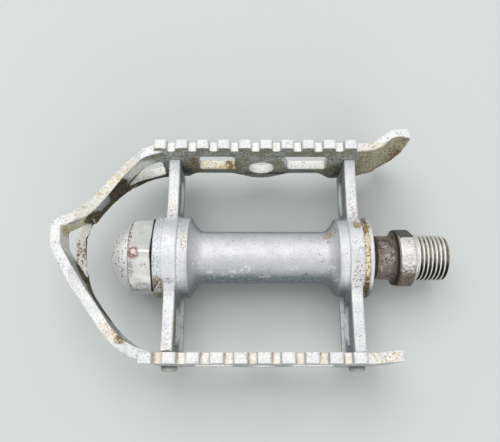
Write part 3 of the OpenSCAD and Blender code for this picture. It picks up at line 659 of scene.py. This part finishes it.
def spindle_piece(material):
    """The spindle: radius r(x, theta) is the turned profile, cut by the collar's two flats, where r is at
    most flats / 2 / |cos(theta - turn)|, and by the left-hand thread, a trapezoid wave of
    x / pitch + theta / 2 pi. Noise wears what is seen of it. The race is an arc of a circle, and so is the
    sweep from neck to flange."""
    back = [[spindle_end_x, 0.05], [spindle_end_x, 3.4], [spindle_bevel_x, spindle_end_r],
            [-72.6, spindle_end_r], [-72.6, 4.3], [-64, 4.7], [-30, 5], [-19.6, 5.19]]
    race = [[inner_ball_x + race_r * math.cos(a), ball_circle_r + race_r * math.sin(a)]
            for a in np.radians(range(-90, -14, 15))]
    sweep = [[neck_x + neck_sweep_r * math.sin(a), neck_r + neck_sweep_r * (1 - math.cos(a))]
             for a in np.radians(range(0, 76, 15))]
    front = [[-5.3, flange_r], [-4.95, flange_r], [-4.95, 8.35], [-4.75, 8.35], [-4.75, collar_r - 0.35],
             [-4.45, collar_r], [-0.35, collar_r], [0, collar_r - 0.35], [0, crank_thread_r - 0.15],
             [0.5, crank_thread_r - 0.1], [0.9, crank_thread_r], [crank_thread_len, crank_thread_r],
             [crank_thread_end, crank_thread_end_r], [crank_thread_end, 0.05]]
    rough = along(back + race + [[-15.55, neck_r]] + sweep + front[:10], 2.5)
    fine = along(front[10:], 13)
    profile = np.vstack([rough[:-1], fine])
    theta = np.linspace(0, 2 * np.pi, 168, endpoint=False)[None, :]
    x, r = profile[:, :1], profile[:, 1:] + 0 * theta
    collar = (x > -4.8) & (x < 0.01)
    flats = collar_flats / 2 / np.maximum(np.abs(np.cos(theta - math.radians(collar_turn))), 0.5)
    r = np.where(collar, np.minimum(r, flats), r)
    phase = (x / thread_pitch + theta / (2 * np.pi)) % 1.0
    wave = np.clip(np.abs(phase - 0.5) * 2 * 1.5 - 0.25, 0, 1)
    depth = thread_depth * np.clip((x - 0.5) / 1.3, 0, 1)
    r = np.where((x > 0.5) & (r > 5), r - depth * wave, r)
    spot = np.stack([x + 0 * r, r * np.cos(theta), r * np.sin(theta)], axis=-1)
    outside = (x > -11.6) & (r > 6)
    wear = 0.05 * lumps(spot, 1.8, 3) + np.where(x < 0, 0.07, 0.02) * lumps(spot, 4.0, 4)
    r = r + np.where(outside, wear, 0)
    points, quads = lathe(x, r, theta)
    points, faces = capped(points, quads, theta.size)
    put("turned_spindle", points, faces, "spindle", "spindle_steel", material, "spindle")


def cap_piece(material):
    """The dust cap: r(x, theta) is the lesser of a hexagon, flats / 2 / cos(theta to the nearest flat), and
    the chamfer's cone; half an ellipse closes the dome, and the same curves less the wall make the inside."""
    corner = cap_flats / 2 / math.cos(math.radians(30))
    a = np.radians(np.linspace(90, 0, 20))[:, None]
    dome_l = cap_hex_x - cap_end_x
    theta = np.linspace(0, 2 * np.pi, 180, endpoint=False)[None, :]
    dome_x = cap_hex_x - dome_l * np.sin(a)
    dome_r = cap_dome_r * np.cos(a) + 0.03 + 0 * theta
    hex_x = np.array([0.0, 0.25, 0.5, 0.8, 1.2, 2.0, 3.5, 5.0, 6.6, 7.0, 7.2])[:, None] + cap_hex_x
    near_flat = (theta - math.radians(cap_turn)) % math.radians(60) - math.radians(30)
    hexagon = cap_flats / 2 / np.cos(near_flat)
    # The hexagon's corners are blunted, and a cone chamfers its front and a shallower one its back.
    soft = corner - 0.22
    hexagon = np.minimum(hexagon, soft + 0.3 * (hexagon - soft))
    depth = hex_x - cap_hex_x
    cone = corner - 1.35 + 1.3 * depth
    back_cone = corner + 0.1 - 0.9 * np.clip(depth - 6.9, 0, 1)
    hex_r = np.minimum(np.minimum(hexagon, cone), back_cone)
    rim_r = np.full_like(theta, cap_dome_r + 0.05)
    spigot_r = cup_r - 0.06
    bore_r = cup_r - 0.05 - cap_wall
    spigot = along([[cap_back_x, spigot_r], [spigot_end_x, spigot_r], [spigot_end_x, bore_r],
                    [cap_hex_x + 0.8, bore_r]], 1.0)
    inner_x = cap_hex_x - (dome_l - cap_wall) * np.sin(a[::-1])
    inner_r = (cap_dome_r - cap_wall) * np.cos(a[::-1]) + 0.03 + 0 * theta
    x = np.vstack([dome_x, [[cap_hex_x - 0.02]], hex_x, spigot[:, :1], inner_x]) + 0 * theta
    r = np.vstack([dome_r, rim_r, hex_r, spigot[:, 1:] + 0 * theta, inner_r])
    spot = np.stack([x, r * np.cos(theta), r * np.sin(theta)], axis=-1)
    shown = x < cap_back_x + 0.5
    r = r + np.where(shown & (r > 1), 0.05 * lumps(spot, 3.0, 5) + 0.03 * lumps(spot, 1.1, 6), 0)
    points, quads = lathe(x, r, theta)
    points, faces = capped(points, quads, theta.size)
    put("dome_cap", points, faces, "pedal", "plated_cap", material, "dust_cap")


def seal_piece(material):
    """The seal: its section is carried round the spindle, and noise lifts beads of rust on its lip."""
    section = [[seal_back_x, seal_bore_r], [seal_back_x, cup_r], [hub_x1, cup_r], [hub_x1, 9.2],
               [seal_lip_x, 9.0], [seal_lip_x, 8.0], [-12.0, 8.0], [-11.65, 7.6], [-11.65, seal_bore_r],
               [seal_back_x, seal_bore_r]]
    profile = along(section, 3.0)
    theta = np.linspace(0, 2 * np.pi, 150, endpoint=False)[None, :]
    x, r = profile[:, :1] + 0 * theta, profile[:, 1:] + 0 * theta
    spot = np.stack([x, r * np.cos(theta), r * np.sin(theta)], axis=-1)
    lip = (x > -13.3) & (r > 7.2)
    r = r + np.where(lip, 0.16 * lumps(spot, 1.5, 8), 0)
    points, quads = lathe(x, r, theta)
    put("rusted_seal", points, list(quads), "pedal", "rusty_seal", material, "inner_seal")


def rivet_piece(node, side, x0, seed, flat, material):
    """A rivet: a shank with a head whose height is its full height times (1 - u^n)^(1/n), where u is the
    share of its radius and n is larger for a flatter head. Noise dents it. The side is 1 at the rear and -1
    in front."""
    theta = np.linspace(0, 2 * np.pi, 72, endpoint=False)[None, :]
    u = np.sin(np.radians(np.linspace(2, 90, 16)))[:, None]
    height = rivet_head_h * (1 - u ** flat) ** (1 / flat)
    out = np.vstack([height, [[0.0]], [[-rivet_shank_len]]]) + 0 * theta
    r = np.vstack([u * rivet_head_r, [[rivet_shank_r]], [[rivet_shank_r]]]) + 0 * theta
    spot = np.stack([out, r * np.cos(theta), r * np.sin(theta)], axis=-1)
    dent = 0.14 * lumps(spot, 3.5, seed) + 0.03 * lumps(spot, 1.3, seed + 1)
    out = np.where(out > 0.2, out + np.minimum(dent, 0), out)
    points, quads = lathe(out, r, theta)
    points, faces = capped(points, quads, theta.size)
    turned = np.stack([x0 + side * points[:, 1], side * (rail_y + points[:, 0]), points[:, 2]], axis=-1)
    put(node + "_head", turned, [f[::-1] for f in faces], "pedal", "rivet_metal", material, node)


def hub_profile():
    """The body's turned surface as (x, radius) points: each hub with a blunt edge and a step cut into it, the
    ring beside it, and a sweep to the barrel, of radius barrel_r + sweep_rise (1 - t)^sweep_power."""
    sweep = [(t, barrel_r + sweep_rise * (1 - t) ** sweep_power) for t in np.linspace(0, 1, 9)]
    outer_sweep = [(outer_sweep_x + sweep_len * t, r) for t, r in sweep]
    # The inboard sweep is lower at its start, because its hub is smaller.
    drop = outer_hub_r - inner_hub_r
    inner_sweep = [(inner_sweep_x - sweep_len * t, r - drop * (1 - t)) for t, r in sweep]
    outer_hub = [
        (hub_x0, outer_hub_r - hub_edge), (hub_x0 + hub_edge, outer_hub_r), (seam_x0 - sharp, outer_hub_r),
        (seam_x0, outer_hub_r - seam_depth), (seam_x1, outer_hub_r - seam_depth),
        (seam_x1 + sharp, outer_hub_r), (outer_ring_x, outer_hub_r),
        (outer_ring_x + ring_bevel, outer_hub_r - ring_bevel)]
    inner_hub = [
        (inner_ring_x - ring_bevel, inner_hub_r - ring_bevel), (inner_ring_x, inner_hub_r),
        (groove_x0 - sharp, inner_hub_r), (groove_x0, inner_hub_r - groove_depth),
        (groove_x1, inner_hub_r - groove_depth), (groove_x1 + sharp, inner_hub_r),
        (hub_x1 - hub_edge, inner_hub_r), (hub_x1, inner_hub_r - hub_edge)]
    return outer_hub + outer_sweep + inner_sweep[::-1] + inner_hub


def worn_copy(node, name, material, voxel, share, dents, turned=None):
    """A CAD casting with its edges worn round: its loose triangles are merged, a voxel remesh spreads even
    faces over it, and every vertex moves half way to the mean of its neighbours, back by slightly more, and
    half way again. Vertices near a turned surface, given as (x, radius) points, then go to it, for crisp
    steps, and so do all in the turned zones, where the steps stand a little further out than the solid's. At
    last noise dents the surface inward, and flat areas merge until only that share of the faces is left."""
    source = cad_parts[node]
    mesh = source.data.copy()
    form = bmesh.new()
    form.from_mesh(mesh)
    bmesh.ops.remove_doubles(form, verts=form.verts, dist=1e-6)
    form.to_mesh(mesh)
    form.free()
    mesh.materials.clear()
    obj = bpy.data.objects.new(name, mesh)
    bpy.context.scene.collection.objects.link(obj)
    obj.modifiers.new("even", "REMESH").voxel_size = voxel * MM
    bpy.context.view_layer.update()
    even = bpy.data.meshes.new_from_object(obj.evaluated_get(bpy.context.evaluated_depsgraph_get()))
    obj.modifiers.clear()
    obj.data = even
    count = len(even.vertices)
    points = np.empty(count * 3, np.float32)
    even.vertices.foreach_get("co", points)
    points = points.reshape(-1, 3).astype(float) / MM
    edges = np.empty(len(even.edges) * 2, np.int32)
    even.edges.foreach_get("vertices", edges)
    a, b = edges.reshape(-1, 2).T
    degree = np.bincount(a, minlength=count) + np.bincount(b, minlength=count)

    def mean_of_neighbours(p):
        sums = [np.bincount(a, p[b, i], count) + np.bincount(b, p[a, i], count) for i in range(3)]
        return np.stack(sums, 1) / degree[:, None]

    for move in (0.5, -0.52, 0.5):
        points += move * (mean_of_neighbours(points) - points)
    if turned:
        radius = np.hypot(points[:, 1], points[:, 2])
        off = np.interp(points[:, 0], *zip(*turned)) - radius
        x = points[:, 0]
        back = np.clip(2 - off / 0.2, 0, 1) * np.clip(off / 0.08 + 1.2, 0, 1) * (radius > 7.5)
        for x0, x1, inside_r in turned_zones:
            back = np.where((x > x0) & (x < x1) & (radius > inside_r), 1, back)
        points[:, 1:] *= (1 + back * off / np.maximum(radius, 1))[:, None]
    normals = np.empty(count * 3, np.float32)
    even.vertices.foreach_get("normal", normals)
    wear = dents * (lumps(points, 6.0, 11) + 0.6 * lumps(points, 2.2, 12))
    points += normals.reshape(-1, 3) * np.minimum(wear, 0)[:, None]
    points = np.clip(points, *(np.array(corner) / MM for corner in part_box(node)))
    even.vertices.foreach_set("co", (points * MM).astype(np.float32).ravel())
    even.shade_smooth()
    even.update()
    even.materials.clear()
    even.materials.append(material)
    obj.modifiers.new("fewer", "DECIMATE").ratio = share
    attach(obj, "pedal")
    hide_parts(node)


cage_metal = weathered_cage()
body_metal = satin_body()
cap_metal = plated_cap()
spindle_metal = rusty_spindle()
seal_metal = rust_seal()
rivet_metal = peened_rivet()
bearing_metal = ground_steel("ground_bearing_steel", "8E8F91", "6F7072", 0.3)
plain_metal = ground_steel("turned_mild_steel", "8C8A86", "6D6B67", 0.45)
ball_metal = ground_steel("polished_ball_steel", "B9BBBE", "A3A5A8", 0.12)

worn_copy("cage", "cast_cage_skin", cage_metal, 0.31, 0.8, 0.05)
worn_copy("body", "cast_body_skin", body_metal, 0.28, 0.53, 0.03, hub_profile())
spindle_piece(spindle_metal)
cap_piece(cap_metal)
seal_piece(seal_metal)
rivet_piece("rivet_front_outboard", -1, outer_arm_x, 21, 5.0, rivet_metal)
rivet_piece("rivet_front_inboard", -1, inner_arm_x, 33, 8.0, rivet_metal)
rivet_piece("rivet_rear_outboard", 1, outer_arm_x, 45, 3.0, rivet_metal)
rivet_piece("rivet_rear_inboard", 1, inner_arm_x, 57, 3.4, rivet_metal)

# The bearings, the washer, the nut and the balls stay CAD solids, with their own materials.
hidden_parts = {"inner_cup": bearing_metal, "outer_cup": bearing_metal, "outer_cone": bearing_metal,
                "lock_washer": plain_metal, "locknut": plain_metal}
for name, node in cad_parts.items():
    metal = hidden_parts.get(name, ball_metal if "_ball_" in name else None)
    if metal:
        node.data.materials.clear()
        node.data.materials.append(metal)


def studio():
    """A pale floor just under the pedal, a wide soft lamp overhead, a weaker one in front, and an even pale
    sky."""
    floor_z = cad_box[0].z - floor_gap
    bpy.ops.mesh.primitive_plane_add(size=floor_size, location=(middle[0], middle[1], floor_z))
    floor = bpy.context.object
    floor.name = "floor"
    mat, _, shader = skin("pale_paper_floor")
    shader.inputs["Base Color"].default_value = linear("C6C9C7")
    shader.inputs["Roughness"].default_value = 0.9
    floor.data.materials.append(mat)
    world = bpy.context.scene.world or bpy.data.worlds.new("sky")
    bpy.context.scene.world = world
    world.use_nodes = True
    sky = world.node_tree.nodes["Background"]
    sky.inputs[0].default_value = linear("EEF1F4")
    sky.inputs[1].default_value = sky_strength
    for name, (place, size, watts) in lamps.items():
        lamp = bpy.data.lights.new(name, "AREA")
        lamp.size = size
        lamp.energy = watts
        lamp.color = lamp_colour
        obj = bpy.data.objects.new(name, lamp)
        obj.location = place
        aim = Vector(middle) - Vector(place)
        obj.rotation_mode = "QUATERNION"
        obj.rotation_quaternion = aim.to_track_quat("-Z", "Y")
        bpy.context.scene.collection.objects.link(obj)
    bpy.context.scene.view_settings.view_transform = "Standard"


def camera():
    """The photograph's view: nearly straight down on the teeth, tipped back a little."""
    lens = bpy.data.cameras.new("camera")
    lens.lens = camera_lens
    lens.sensor_width = sensor_width
    lens.clip_start = 0.01
    obj = bpy.data.objects.new("camera", lens)
    obj.location = camera_place
    obj.rotation_euler = camera_turn
    bpy.context.scene.collection.objects.link(obj)
    bpy.context.scene.camera = obj


studio()
camera()
bpy.context.view_layer.update()
